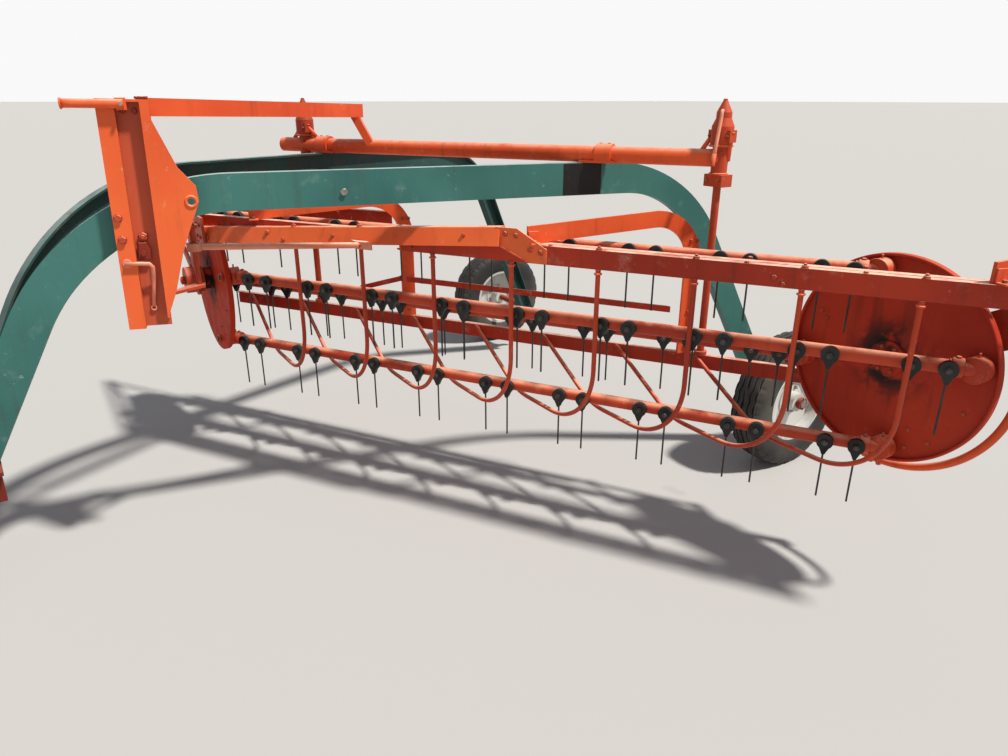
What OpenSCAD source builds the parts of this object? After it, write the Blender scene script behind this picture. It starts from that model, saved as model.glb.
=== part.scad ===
// Side-delivery hay rake: a parallel-bar reel hangs in a basket under a two-legged arch frame.
// Millimetres. +Z up, -Y forward (towards the drawbar), +X the machine's left side.
// The ground is Z = 0, with the origin below the middle of the machine's outer box.
// The discs turn about Y; the tine bars run obliquely from front to rear.

/* [Reel] */
// height of the reel's centre above the ground
reel_z = 853; // [848:1:858]
// sideways distance between the two disc centres
reel_x = 2590; // [2550:10:2610]
// front disc's inner face
disc_front_y = -20; // [-24:1:-18]
// distance between the two discs' inner faces
disc_gap = 1743; // [1730:1:1750]
// disc outside radius
disc_r = 373; // [370:1:376]
// radius of the circle of bar pivots
pivot_r = 316; // [312:1:320]
// turn of the pivots from the level position
pivot_phase = 11.3; // [6:0.1:14]
// depth of the disc's rolled rim
disc_rim = 18; // [14:1:20]
// tine bar tube diameter
bar_d = 48; // [44:1:50]
// distance between tine pairs along the bar
tine_pitch = 346; // [342:1:348]
// distance between the two tines of a pair
tine_gap = 105; // [98:1:110]
// length of a tine below its rubber block
tine_len = 175; // [150:5:190]
// tine wire diameter
tine_d = 7; // [6:0.5:8]

/* [Basket] */
// sideways distance from the reel line to the rails
rail_side = 420; // [418:1:425]
// top of the near rail
rail_top = 1203; // [1198:1:1206]
// near rail height
rail_h = 70; // [64:1:74]
// rail wall thickness
rail_t = 6; // [5:0.5:8]
// top of the lower rear rail
low_top = 705; // [700:1:710]
// centre height of the middle rear rail
mid_z = 887; // [875:1:895]
// stripper rod diameter
rod_d = 18; // [16:1:20]
// lowest point of the stripper rods, at the rod centre
strip_z = 482; // [476:1:484]
// top of the arch bars
arch_top = 1304; // [1295:1:1306]
// depth of the arch bars
arch_h = 64; // [56:1:66]
// arch bar thickness
arch_t = 12; // [10:1:14]

/* [Frame] */
// top of the arch beams
beam_top = 1466; // [1460:1:1468]
// depth of the arch beams
beam_h = 130; // [124:1:134]
// width of the channel flanges
beam_w = 46; // [40:1:50]
// channel thickness
beam_t = 8; // [6:0.5:9]
// square size of the drawbar
bar_sq = 90; // [80:2:100]
// length of the drawbar ahead of the legs
draw_len = 1150; // [1000:10:1200]
// top of the mast
mast_top = 1712; // [1706:1:1716]
// boom size
boom_sq = 58; // [54:1:60]
// lift tube diameter
tube_d = 66; // [60:1:68]
// lift rod diameter
lift_d = 30; // [26:1:32]

/* [Wheels] */
// tyre radius
tyre_r = 330; // [325:1:332]
// tyre width
tyre_w = 176; // [160:1:180]
// rim radius
rim_r = 190; // [186:1:194]
// stub axle diameter
axle_d = 40; // [36:1:42]

/* [Hidden] */
$fn = 48;
// running fit, gap between seated parts, gap between parts that move past each other
fit = 0.05;
seat = 0.3;
play = 6;
eps = 0.5;

// reel line, from the middle of the front bar castings to the middle of the rear ones
disc_t = 5;
cast_d = 84;
cast_w = 44;
cast_stand = 25;
spindle_d = 24;
disc_rear_y = disc_front_y + disc_gap;
line_y0 = disc_front_y + cast_stand + cast_w / 2;
line_y1 = disc_rear_y - cast_stand - cast_w / 2;
line_len = norm([reel_x, line_y1 - line_y0]);
line_a = atan2(line_y1 - line_y0, reel_x);
ux = cos(line_a);
uy = sin(line_a);
slope = ux / uy;

// centre of each bar's pivot relative to the disc centre: 1 front, 2 bottom, 3 rear, 4 top
function pivot(k) = [pivot_r * cos(pivot_phase - 90 * (k - 1)), pivot_r * sin(pivot_phase - 90 * (k - 1))];
// sideways position of a line parallel to the reel line at distance o
function side_x(o, y) = o + (y - line_y0) * slope;
// point on that line at distance s along it
function at(o, s) = [o + s * ux, line_y0 + s * uy];

// spacing along the bars
tine_pairs = 9;
tine_start = 118;
tine_half = bar_d / 2 + 10;
strip_s0 = tine_start + tine_gap + 0.5 * (tine_pitch - tine_gap);
block_head = 58;
block_t = 20;
block_drop = 42;
block_tip = 16;

// basket
rail_w = 60;
rail_s0 = -215;
rail_s1 = 3300;
rod_side = rail_side + 20;
near_s0 = 880;
low_side = rail_side + 12;
low_h = 60;
low_w = 50;
low_s0 = 240;
low_s1 = 3270;
end_gap = 60;
end_t = 12;
end_front_y = disc_front_y - disc_t - end_gap;
end_rear_y = disc_rear_y + disc_t + end_gap;
housing_d = 130;
disc_shaft_d = 40;
arch_run = 735;
arch_a = 73.63;
arch_s = [100, 1458, 2950];
arch_r = 200;
guard_r = 408;
guard_d = 28;

// frame: each arch lies in an upright plane through the apex
apex = [939.4, -1200];
near_a = atan2(1, 0.217);
far_a = atan2(1, -0.373);
split_a = (near_a + far_a) / 2;
leg_a = 61.5;
front_r = 878;
front_cx = 1099;
rear_r = 627;
rear_in_r = 424;
near_rear_cx = 2601;
far_rear_cx = 2590;
leg_low = 470;
leg_foot = 290;
axle_z = tyre_r;
near_leg_s = 3518;
far_leg_s = 3524;
wheel_left = [1850, apex[1] + near_leg_s * sin(near_a)];
wheel_right = [-640, apex[1] + far_leg_s * sin(far_a)];

// mast, in the near beam's own line
mast_s = 700;
mast_low = 950;
mast_t = 8;
mast_deep = 48;
lip_w = 54;
recess_w = 74;
mast_lean = 1.6;
boom_start = [1075, -360, 1684];
boom_end = [503, 633, 1658];

// lift gear
tube_side = -460;
tube_z = beam_top + tube_d / 2 + seat;
tube_front_y = 390;
sleeve_d = 62;
sleeve_head_d = 84;
sleeve_ys = [465, 1530];
sleeve_low = 1394;
sleeve_top = 1690;
lift_top = 1596;
link_pin = [1019, -254, 1196];
link_back = [1084, 376, 1150];
link_d = 24;
guide_d = 20;

// everything is drawn from a point below the front disc, then moved to the middle of the outer box
module placed() {
  x0 = wheel_right[0] - 96;
  x1 = side_x(rail_side + 30, end_rear_y) + 10;
  y1 = wheel_left[1] + tyre_r;
  y0 = apex[1] - (draw_len + 90) * sin(180 - split_a) - 38;
  translate([-(x0 + x1) / 2, -(y0 + y1) / 2, 0]) children();
}

// general shapes
module rod(p, q, d) {
  v = q - p;
  translate(p) rotate([0, 0, atan2(v[1], v[0])]) rotate([0, acos(v[2] / norm(v)), 0])
    cylinder(d = d, h = norm(v));
}

module bar_between(p, q, w, h) {
  v = q - p;
  translate(p) rotate([0, 0, atan2(v[1], v[0])]) rotate([0, -asin(v[2] / norm(v)), 0])
    translate([0, -w / 2, -h / 2]) cube([norm(v), w, h]);
}

// box along the reel line: side distance o0..o1, length s0..s1, height z0..z1
module line_box(o0, o1, s0, s1, z0, z1) {
  a = at(o0, s0);
  b = at(o0, s1);
  c = at(o1, s1);
  d = at(o1, s0);
  translate([0, 0, z0]) linear_extrude(z1 - z0) polygon([a, b, c, d]);
}

// plate in an X-Z plane, thickness t towards +Y
module plate_xz(y, t) {
  translate([0, y + t, 0]) rotate([90, 0, 0]) linear_extrude(t) children();
}

// arch beams
module beam_region(top, r1, cz1, cx2, cz2, r2) {
  p1 = [front_cx - r1 * sin(leg_a), cz1 + r1 * cos(leg_a)];
  p2 = [cx2 + r2 * sin(leg_a), cz2 + r2 * cos(leg_a)];
  reach = 1400;
  polygon([[p1[0] - reach * cos(leg_a), p1[1] - reach * sin(leg_a)], p1, [front_cx, top], [cx2, top], p2,
           [p2[0] + reach * cos(leg_a), p2[1] - reach * sin(leg_a)]]);
  translate([front_cx, cz1]) circle(r1, $fn = 180);
  translate([cx2, cz2]) circle(r2, $fn = 180);
}

module beam_outer(cx, d) {
  beam_region(beam_top - d, front_r - d, beam_top - front_r, cx, beam_top - rear_r, rear_r - d);
}

module beam_inner(cx, d) {
  beam_region(beam_top - beam_h + d, front_r - beam_h + d, beam_top - front_r, cx + 71,
              beam_top - beam_h - rear_in_r, rear_in_r + d);
}

// web at z = 0, flanges towards +z
module arch(cx) {
  linear_extrude(beam_t) difference() {
    beam_outer(cx, 0);
    beam_inner(cx, 0);
  }
  linear_extrude(beam_w) difference() {
    beam_outer(cx, 0);
    beam_outer(cx, beam_t);
  }
  linear_extrude(beam_w) difference() {
    beam_inner(cx, beam_t);
    beam_inner(cx, 0);
  }
}

module in_near_plane() {
  translate([apex[0], apex[1], 0]) rotate([90, 0, near_a]) mirror([0, 0, 1]) children();
}

module in_far_plane() {
  translate([apex[0], apex[1], 0]) rotate([90, 0, far_a]) children();
}

// side of the split plane through the apex, legs cut off above the head and above the ground
module beam_room(side) {
  translate([apex[0], apex[1], 0]) rotate([0, 0, split_a])
    translate([-600, side > 0 ? -1900 : seat / 2, 0]) difference() {
      translate([0, 0, leg_foot]) cube([4600, 1900 - seat / 2, 1300]);
      translate([-1, -1, 0]) cube([1800, 1904, leg_low]);
    }
}

module near_beam() {
  color("#3f7d72") placed() intersection() {
    in_near_plane() arch(near_rear_cx);
    beam_room(1);
  }
}

module far_beam() {
  color("#2f5f58") placed() intersection() {
    in_far_plane() arch(far_rear_cx);
    beam_room(-1);
  }
}

module beam_band() {
  color("#22221f") placed() in_near_plane() translate([2382, beam_top - beam_h + 2, -2 - seat])
    cube([170, beam_h - 4, 2]);
}

// head, drawbar and parking jack
module head_frame() {
  translate([apex[0], apex[1], 0]) rotate([0, 0, split_a - 180]) children();
}

module hitch_head() {
  y = bar_sq / 2 + seat;
  z1 = leg_low - seat;
  color("#7c2418") placed() head_frame() {
    translate([-195, -95, z1 - 14]) cube([285, 190, 14]);
    for (side = [-y - 10, y]) translate([-187, side, 340]) cube([267, 10, z1 - 354 + eps]);
    translate([-187, -y - eps, 340]) cube([10, 2 * y + 2 * eps, z1 - 354 + eps]);
    translate([-120, -y - eps, 340]) cube([200, 2 * y + 2 * eps, 12 - seat]);
  }
}

module drawbar() {
  color("#c9482a") placed() head_frame() difference() {
    translate([-175, -bar_sq / 2, 352]) cube([175 + draw_len, bar_sq, bar_sq]);
    translate([-169, -bar_sq / 2 + 6, 358]) cube([163 + draw_len, bar_sq - 12, bar_sq - 12]);
  }
}

module hitch_clevis() {
  z0 = 352 + bar_sq / 2;
  color("#8d2f1c") placed() head_frame() difference() {
    union() {
      translate([draw_len + seat, -bar_sq / 2, 352]) cube([12, bar_sq, bar_sq]);
      for (z = [z0 - 37, z0 + 21]) {
        translate([draw_len + 12, -38, z]) cube([78, 76, 16]);
        translate([draw_len + 90, 0, z]) cylinder(r = 38, h = 16);
      }
    }
    translate([draw_len + 90, 0, z0 - 60]) cylinder(d = 26, h = 120);
  }
}

jack_at = [10, 130];

module jack_tube() {
  y = bar_sq / 2 + 10 + 2 * seat;
  color("#8c8a7e") placed() head_frame() {
    difference() {
      translate([jack_at[0], jack_at[1], 230]) cylinder(d = 64, h = 430);
      translate([jack_at[0], jack_at[1], 180]) cylinder(d = 50 + 2 * fit, h = 450);
    }
    translate([jack_at[0] - 28, y, 362]) cube([56, jack_at[1] - 26 - y, 70]);
    translate([jack_at[0], jack_at[1], 660 - eps]) cylinder(d = 40, h = 34);
    translate([jack_at[0] - 6, jack_at[1], 676]) cube([12, 150, 10]);
    translate([jack_at[0], jack_at[1] + 150, 670]) cylinder(d = 22, h = 90);
  }
}

module jack_leg() {
  color("#a5a397") placed() head_frame() translate([jack_at[0], jack_at[1], 0]) {
    cylinder(d = 50, h = 400);
    cylinder(d = 170, h = 8);
    translate([0, 0, 7]) cylinder(d1 = 90, d2 = 50, h = 26);
  }
}

// mast and boom, in the near beam's own line: x rearward along it, -y outward from its web
module in_mast() {
  translate([apex[0], apex[1], 0]) rotate([0, 0, near_a]) translate([mast_s, 0, 0]) children();
}

module mast() {
  out = -seat - mast_deep;
  tall = mast_top - mast_low;
  x2 = lip_w + recess_w;
  color("#e5602f") placed() in_mast() translate([0, 0, mast_low]) rotate([0, mast_lean, 0])
    translate([0, 0, -mast_low]) difference() {
    union() {
      translate([0, out, mast_low]) cube([lip_w, mast_t, tall]);
      translate([lip_w - mast_t, out, mast_low]) cube([mast_t, mast_deep, tall]);
      translate([lip_w - mast_t, -seat - mast_t, mast_low]) cube([recess_w + 2 * mast_t, mast_t, tall]);
      translate([x2, out, mast_low + 34]) cube([mast_t, mast_deep, tall - 34]);
      translate([0, out, mast_top - mast_t]) cube([x2 + mast_t, mast_deep, mast_t]);
      translate([0, out + mast_t, 0]) rotate([90, 0, 0]) linear_extrude(mast_t)
        polygon([[x2, mast_top], [x2 + 28, mast_top], [x2 + 28, 1655], [x2 + 92, 1499], [x2 + 142, 1440],
                 [x2 + 146, 1388], [x2 + 78, 1218], [x2 + 39, 1078], [x2 + 8, 1000], [x2, 984]]);
    }
    translate([x2 + 122, 0, 1388]) rotate([90, 0, 0]) cylinder(d = 24, h = 100);
  }
}

module boom() {
  foot = [side_x(tube_side, 672), 672, tube_z];
  color("#e8643a") placed() difference() {
    union() {
      bar_between(boom_start, boom_end, boom_sq, boom_sq);
      bar_between([boom_end[0] + 14, boom_end[1] - 24, boom_end[2] - 20], foot, 56, 34);
      in_mast() translate([lip_w + recess_w - 30, 0, mast_top - 72]) cube([76, 12, 64]);
    }
    rod([side_x(tube_side, 500), 500, tube_z], [side_x(tube_side, 900), 900, tube_z], tube_d + 2 * seat);
  }
}

// lift tube on its saddles, with a sleeve at each end for the lift rods
module sleeve_at(i) {
  translate([side_x(tube_side, sleeve_ys[i]), sleeve_ys[i], 0]) children();
}

module lift_tube() {
  p = [side_x(tube_side, tube_front_y), tube_front_y, tube_z];
  q = [side_x(tube_side, sleeve_ys[1]), sleeve_ys[1], tube_z];
  color("#e0603a") placed() difference() {
    rod(p, q, tube_d);
    rod(p - [60 * ux, 60 * uy, 0], q + [60 * ux, 60 * uy, 0], tube_d - 10);
    for (i = [0, 1]) sleeve_at(i) translate([0, 0, tube_z - 100]) cylinder(d = sleeve_d + 2 * seat, h = 200);
  }
}

// where the lift tube crosses each beam
function cross_y(k) = k == 0 ? (apex[0] - 0.217 * apex[1] - tube_side + slope * line_y0) / (slope - 0.217)
  : (apex[0] + 0.373 * apex[1] - tube_side + slope * line_y0) / (slope + 0.373);

module tube_saddles() {
  color("#c8482a") placed() for (k = [0, 1]) {
    y = cross_y(k);
    dx = k == 0 ? 40 : 22;
    foot = k == 0 ? [-100, 150] : [-62, 124];
    translate([side_x(tube_side, y) + dx, y + dx * uy / ux, beam_top + seat]) rotate([0, 0, line_a])
    difference() {
      union() {
        translate([-34, 0, tube_z - beam_top - seat]) rotate([0, 90, 0]) cylinder(d = tube_d + 20, h = 68);
        translate([foot[0], -36, 0]) cube([foot[1], 72, 10]);
      }
      translate([-120, 0, tube_z - beam_top - seat]) rotate([0, 90, 0])
        cylinder(d = tube_d + 2 * seat, h = 240);
      translate([-120, -60, -40]) cube([240, 120, 40]);
    }
  }
}

module lift_sleeves() {
  color("#b8452a") placed() for (i = [0, 1]) sleeve_at(i) difference() {
    union() {
      translate([0, 0, sleeve_low + 45]) cylinder(d = sleeve_d, h = sleeve_top - sleeve_low - 120);
      translate([0, 0, sleeve_top - 145]) cylinder(d = sleeve_head_d, h = 70);
      translate([-54, -18, sleeve_top - 132]) cube([108, 36, 44]);
      translate([0, 0, sleeve_top - 75]) cylinder(d1 = sleeve_head_d, d2 = 58, h = 30);
      translate([0, 0, sleeve_top - 45]) cylinder(d = 58, h = 20);
      translate([0, 0, sleeve_top - 25]) cylinder(d1 = 58, d2 = 14, h = 45);
      translate([-44, -30, sleeve_low]) cube([88, 60, 45 + eps]);
    }
    translate([0, 0, sleeve_low - 10]) cylinder(d = lift_d + 2 * fit, h = lift_top + 60 - sleeve_low);
  }
}

module link_guide() {
  c = lip_w + recess_w;
  color("#a8391f") placed() {
    translate([link_pin[0], link_pin[1], link_pin[2] - 140]) cylinder(d = guide_d, h = 224);
    in_mast() for (z = [link_pin[2] - 150, link_pin[2] + 71])
      translate([0, 0, z]) linear_extrude(11)
        polygon([[c - 5, 0], [c + 8, 0], [262, 104], [262, 140], [222, 140]]);
  }
}

// wheels and stub axles
module axle(x0, x1, y) {
  translate([x0, y, axle_z]) rotate([0, 90, 0]) cylinder(d = axle_d, h = x1 - x0);
}

// a boss on the leg's web carries the stub
module axle_left() {
  color("#8b3a26") placed() {
    in_near_plane() translate([near_leg_s, axle_z, -seat - 24]) cylinder(d = 90, h = 24);
    axle(apex[0] + near_leg_s * cos(near_a) + 12, wheel_left[0] + 88, wheel_left[1]);
    translate([wheel_left[0] + 78, wheel_left[1], axle_z]) rotate([0, 90, 0]) cylinder(d = 58, h = 18);
  }
}

module axle_right() {
  color("#8b3a26") placed() {
    in_far_plane() translate([far_leg_s, axle_z, -seat - 24]) cylinder(d = 90, h = 24);
    axle(wheel_right[0] - 88, apex[0] + far_leg_s * cos(far_a) - 14, wheel_right[1]);
    translate([wheel_right[0] - 96, wheel_right[1], axle_z]) rotate([0, 90, 0]) cylinder(d = 58, h = 18);
  }
}

module at_wheel(w) {
  translate([w[0], w[1], axle_z]) rotate([0, 90, 0]) children();
}

module tyre(w) {
  half = tyre_w / 2;
  at_wheel(w) rotate_extrude($fn = 72) {
    difference() {
      union() {
        translate([rim_r + 1, -half + 26]) square([tyre_r - rim_r - 27, tyre_w - 52]);
        translate([rim_r + 12, -half + 10]) square([tyre_r - rim_r - 50, tyre_w - 20]);
        translate([tyre_r - 38, -half + 40]) circle(38, $fn = 24);
        translate([tyre_r - 38, half - 40]) circle(38, $fn = 24);
        translate([tyre_r - 40, -half + 40]) square([40, tyre_w - 80]);
      }
      translate([0, -half - 5]) square([rim_r + 1 - eps, tyre_w + 10]);
    }
  }
}

module rim(w, side) {
  half = tyre_w / 2;
  at_wheel(w) difference() {
    rotate_extrude($fn = 72) {
      translate([rim_r - 12, -half + 30]) square([12, tyre_w - 60]);
      translate([rim_r - 12, -half + 16]) square([18, 8]);
      translate([rim_r - 12, half - 24]) square([18, 8]);
      translate([rim_r - 12, -half + 16]) square([6, tyre_w - 32]);
      translate([0, side * 14 - 4]) square([rim_r - 5, 8]);
      translate([0, -70]) square([46, 140]);
      translate([0, side * 14 - 10]) square([78, 20]);
    }
    translate([0, 0, -200]) cylinder(d = axle_d + 2 * fit, h = 400);
    for (a = [0:72:359]) rotate([0, 0, a]) translate([64, 0, -200]) cylinder(d = 14, h = 400, $fn = 24);
  }
}

module tyre_left() { color("#26262a") placed() tyre(wheel_left); }

module tyre_right() { color("#26262a") placed() tyre(wheel_right); }

module rim_left() { color("#d8d8d4") placed() rim(wheel_left, 1); }

module rim_right() { color("#d8d8d4") placed() rim(wheel_right, -1); }

// basket rails
module near_rail() {
  o1 = rail_side + 30;
  z0 = rail_top - rail_h;
  s0 = (end_front_y + seat - line_y0) / uy;
  s1 = (end_rear_y - seat - line_y0) / uy;
  color("#c9502d") placed() {
    line_box(o1 - rail_t / uy, o1, near_s0, s1, z0, rail_top);
    line_box(o1 - 65, o1, near_s0, s1, rail_top - rail_t, rail_top);
    line_box(o1 - 34, o1, near_s0, s1, z0, z0 + rail_t);
    line_box(o1 - 138, o1 - 75, s0, s1, rail_top - rail_t, rail_top);
    line_box(o1 - 75 - rail_t / uy, o1 - 75, s0, s1, rail_top - 46, rail_top);
    for (s = [near_s0, 1500, 2200, s1 - 60])
      line_box(o1 - 75 - eps, o1 - rail_t / uy + eps, s, s + 60, rail_top - 40, rail_top - rail_t + eps);
  }
}

// front half of the near rail: a leaning angle bar that rises rearward to a joint plate
bar_rise = 4;
bar_deep = 68;
bar_lean = 26;
bar_end = 1330;
function bar_z(s) = 1167 + s * tan(bar_rise);

module front_bar() {
  o1 = rail_side + 30;
  s0 = -300;
  p = at(o1, s0);
  z0 = rail_top - rail_h + 3;
  color("#dd5c31") placed() {
    intersection() {
      translate([p[0], p[1], bar_z(s0)]) rotate([0, 0, line_a]) rotate([0, -bar_rise, 0]) rotate([90, 0, 90])
        linear_extrude((bar_end - s0) / cos(bar_rise))
          polygon([[38, 0], [-seat - rail_t, 0], [-seat - rail_t - bar_lean, -bar_deep],
                   [-seat - bar_lean, -bar_deep], [-seat - 2, -rail_t], [38, -rail_t]]);
      translate([-500, end_front_y + seat, 1000]) cube([3000, 2000, 400]);
    }
    translate([o1, line_y0, 0]) rotate([90, 0, line_a]) translate([0, 0, seat]) linear_extrude(8)
      polygon([[bar_end - 18, bar_z(bar_end)], [bar_end + 70, bar_z(bar_end)], [bar_end + 190, z0 + 55],
               [bar_end + 190, z0], [bar_end + 125, z0], [bar_end - 18, z0 + 62]]);
  }
}

module low_rail() {
  s1 = (end_rear_y - seat - line_y0) / uy;
  color("#c04a2a") placed() {
    line_box(-low_side - rail_t / uy, -low_side, low_s0, s1, low_top - low_h, low_top);
    line_box(-low_side - low_w, -low_side, low_s0, s1, low_top - rail_t, low_top);
  }
}

function arch_p(k, u) = at(rail_side, arch_s[k]) + u * [cos(arch_a), sin(arch_a)];
mid_o = -rail_side - 5;
upper_o = -rail_side - 5;
upper_z = [1150, 1210];

module mid_rail() {
  s0 = (end_front_y + seat - line_y0) / uy;
  a = at(mid_o - 7.5, 1070);
  b = at(mid_o - 7.5, 1312);
  color("#c9502d") placed() difference() {
    union() {
      line_box(mid_o - 15, mid_o, 1308, 2632, mid_z - 13, mid_z + 13);
      bar_between([a[0], a[1], 815], [b[0], b[1], mid_z], 8, 24);
      line_box(upper_o, upper_o + 50, s0, 1262, upper_z[1] - rail_t, upper_z[1]);
      line_box(upper_o, upper_o + rail_t / uy, s0, 1268, upper_z[0], upper_z[1]);
    }
    for (k = [0, 1]) in_arch(k, arch_t + 2 * seat) translate([arch_run - arch_r, 600, 0])
      cube([arch_r + 10, 760, arch_t + 2 * seat]);
  }
}

// flat bar from the near rail over the reel and down to the low rail
module arch_bar() {
  z1 = rail_top + seat;
  c = [arch_run - arch_r, arch_top - arch_r];
  linear_extrude(arch_t) {
    polygon([[0, z1], [40, z1], [c[0] + 1, arch_top - arch_h], [c[0] + 1, arch_top], [0, z1 + arch_h]]);
    translate([arch_run - arch_h, low_top + seat]) square([arch_h, c[1] - low_top + 1]);
  }
  translate([c[0], c[1], 0]) rotate_extrude(angle = 90, $fn = 96)
    translate([arch_r - arch_h, 0]) square([arch_h, arch_t]);
}

module in_arch(k, t = arch_t) {
  p = arch_p(k, 0);
  translate([p[0], p[1], 0]) rotate([90, 0, arch_a]) translate([0, 0, -t / 2]) children();
}

module arch_bars() {
  back = (end_rear_y - seat - arch_p(2, 0)[1] - arch_t) / sin(arch_a);
  color("#d9572f") placed() {
    for (k = [0, 1]) in_arch(k) arch_bar();
    in_arch(2) intersection() {
      arch_bar();
      translate([-1, rail_top - 10, -1]) cube([back + 1, 300, arch_t + 2]);
    }
  }
}

// end frames with the disc bearings
module end_outline(x_near, x_far, x_c) {
  z0 = rail_top - rail_h;
  translate([x_far, z0]) square([x_near - x_far, rail_h]);
  polygon([[x_c - 62, reel_z], [x_c - 46, z0 + 1], [x_c + 46, z0 + 1], [x_c + 62, reel_z]]);
  translate([x_c, reel_z]) circle(d = housing_d + 30);
}

module front_end() {
  y = end_front_y - end_t;
  xn = side_x(rail_side + 30, y) + 6;
  xf = side_x(upper_o, y);
  color("#b04326") placed() difference() {
    union() {
      plate_xz(y, end_t) {
        end_outline(xn, xf, 0);
        translate([xn - 75, rail_top - rail_h - 48]) square([156, rail_h + 48]);
        polygon([[xf, 1137], [xf + 60, 1137], [-40, 900], [-60, 850]]);
      }
      translate([0, end_front_y + 22, reel_z]) rotate([90, 0, 0]) cylinder(d = housing_d, h = 84);
    }
    translate([0, 0, reel_z]) rotate([90, 0, 0]) cylinder(d = disc_shaft_d + 2 * fit, h = 400);
  }
}

module rear_end() {
  y = end_rear_y;
  xn = side_x(rail_side + 30, y) + 10;
  xf = side_x(-low_side - low_w, y);
  z0 = rail_top - rail_h;
  color("#9c3a22") placed() difference() {
    union() {
      plate_xz(y, end_t) {
        polygon([[xn - 150, rail_top], [xn, rail_top], [xn, z0], [reel_x + 40, reel_z - 50],
                 [reel_x - 30, reel_z + 60]]);
        polygon([[xf, low_top - low_h], [xf, low_top], [reel_x - 50, reel_z + 50],
                 [reel_x + 20, reel_z - 62]]);
        polygon([[reel_x - 30, reel_z - guard_r - 20], [reel_x + 20, reel_z - guard_r - 20],
                 [reel_x + 45, reel_z], [reel_x - 45, reel_z]]);
        translate([reel_x, reel_z]) circle(d = housing_d + 30);
      }
      translate([reel_x, y + end_t + 50, reel_z]) rotate([90, 0, 0]) cylinder(d = housing_d, h = 84);
    }
    translate([reel_x, y + 200, reel_z]) rotate([90, 0, 0]) cylinder(d = disc_shaft_d + 2 * fit, h = 400);
  }
}

// round rods that hang under the reel and strip the hay off the tines
strip_turn = 31;
strip_near_r = 260;

module rod_bend(r, from, turn) {
  rotate([90, 0, 0]) rotate([0, 0, from - 0.8]) rotate_extrude(angle = turn + 1.6, $fn = 72)
    translate([r, 0]) circle(d = rod_d - 0.3, $fn = 20);
}

module stripper(top) {
  z1 = strip_z + strip_near_r;
  e = [-300 * sin(strip_turn), strip_z + 300 * (1 - cos(strip_turn))];
  reach = (low_side + 30 + e[0]) / cos(strip_turn);
  translate([rod_side, 0, z1]) cylinder(d = rod_d, h = top - z1);
  translate([rod_side - strip_near_r, 0, z1]) rod_bend(strip_near_r, -90, 90);
  translate([0, 0, strip_z]) rotate([0, 90, 0]) cylinder(d = rod_d, h = rod_side - strip_near_r);
  translate([0, 0, strip_z + 300]) rod_bend(300, -90 - strip_turn, strip_turn);
  difference() {
    translate([e[0], 0, e[1]]) rotate([0, -90 + strip_turn, 0]) cylinder(d = rod_d, h = reach);
    translate([-low_side, 0, low_top - 150]) rotate([0, 0, line_a]) translate([-100, -seat, 0])
      cube([200, 80, 300]);
  }
}

module strippers() {
  color("#d0522c") placed() for (k = [0 : tine_pairs - 2]) {
    s = strip_s0 + k * tine_pitch;
    p = at(0, s);
    translate([p[0], p[1], 0]) stripper(s < near_s0 ? bar_z(s) - 12 : rail_top - rail_h - seat);
  }
}

module end_guard() {
  y = end_rear_y - guard_d / 2 - seat;
  color("#cc4f2c") placed() translate([reel_x, y, reel_z]) {
    rotate([90, 0, 0]) rotate([0, 0, -97]) rotate_extrude(angle = 97.1, $fn = 96)
      translate([guard_r, 0]) circle(d = guard_d, $fn = 24);
    translate([guard_r, 0, 0]) cylinder(d = guard_d - 0.3, h = 215);
  }
}

module lift_rods() {
  color("#8f3a24") placed() for (i = [0, 1]) sleeve_at(i) {
    translate([0, 0, low_top + seat]) cylinder(d = lift_d, h = lift_top - low_top);
    translate([0, 0, low_top + seat]) cylinder(d = 52, h = 16);
  }
}

module drag_link() {
  v = (link_back - link_pin) / norm(link_back - link_pin);
  color("#e39a80") placed() difference() {
    union() {
      rod(link_pin + v * 22, link_back, link_d);
      translate([link_pin[0], link_pin[1], link_pin[2] - 15]) cylinder(d = guide_d + 2 * play + 20, h = 30);
      line_box(rail_side + 30 + (bar_lean + rail_t + 2 * seat) / uy, rail_side + 30 + 60 / uy, 610, 690,
               bar_z(700) - bar_deep - 12, bar_z(700) - bar_deep + 18);
    }
    translate([link_pin[0], link_pin[1], link_pin[2] - 30]) cylinder(d = guide_d + 2 * play, h = 60);
  }
}

// reel discs: the rim turns towards the reel
module disc_body(hole_d) {
  difference() {
    union() {
      cylinder(r = disc_r, h = disc_t, $fn = 120);
      rotate_extrude($fn = 120) {
        translate([disc_r - 5, 0]) square([5, disc_t + disc_rim - 4]);
        translate([disc_r - 5, disc_t + disc_rim - 4]) circle(5, $fn = 16);
      }
      translate([0, 0, -30]) cylinder(d = 110, h = 31);
      translate([0, 0, -140]) cylinder(d = disc_shaft_d, h = 140);
      translate([0, 0, disc_t - eps]) cylinder(d = 128, h = 10 + eps);
      translate([0, 0, disc_t]) cylinder(d = 58, h = 24);
    }
    for (k = [1 : 4]) translate([pivot(k)[0], pivot(k)[1], -50]) cylinder(d = hole_d, h = 100);
  }
}

module disc_front() {
  color("#8e2f1e") placed() translate([0, disc_front_y - disc_t, reel_z]) rotate([90, 0, 0])
    mirror([0, 0, 1]) disc_body(spindle_d + 2 * fit);
}

module disc_rear() {
  color("#c2472a") placed() translate([reel_x, disc_rear_y + disc_t, reel_z]) rotate([90, 0, 0])
    disc_body(spindle_d + 2 * play);
}

// tine bars: they travel round with the discs while their tines always hang down
module at_bar(k) {
  translate([pivot(k)[0], 0, reel_z + pivot(k)[1]]) children();
}

module along_y(y0, y1, d) {
  translate([0, y1, 0]) rotate([90, 0, 0]) cylinder(d = d, h = y1 - y0);
}

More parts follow.
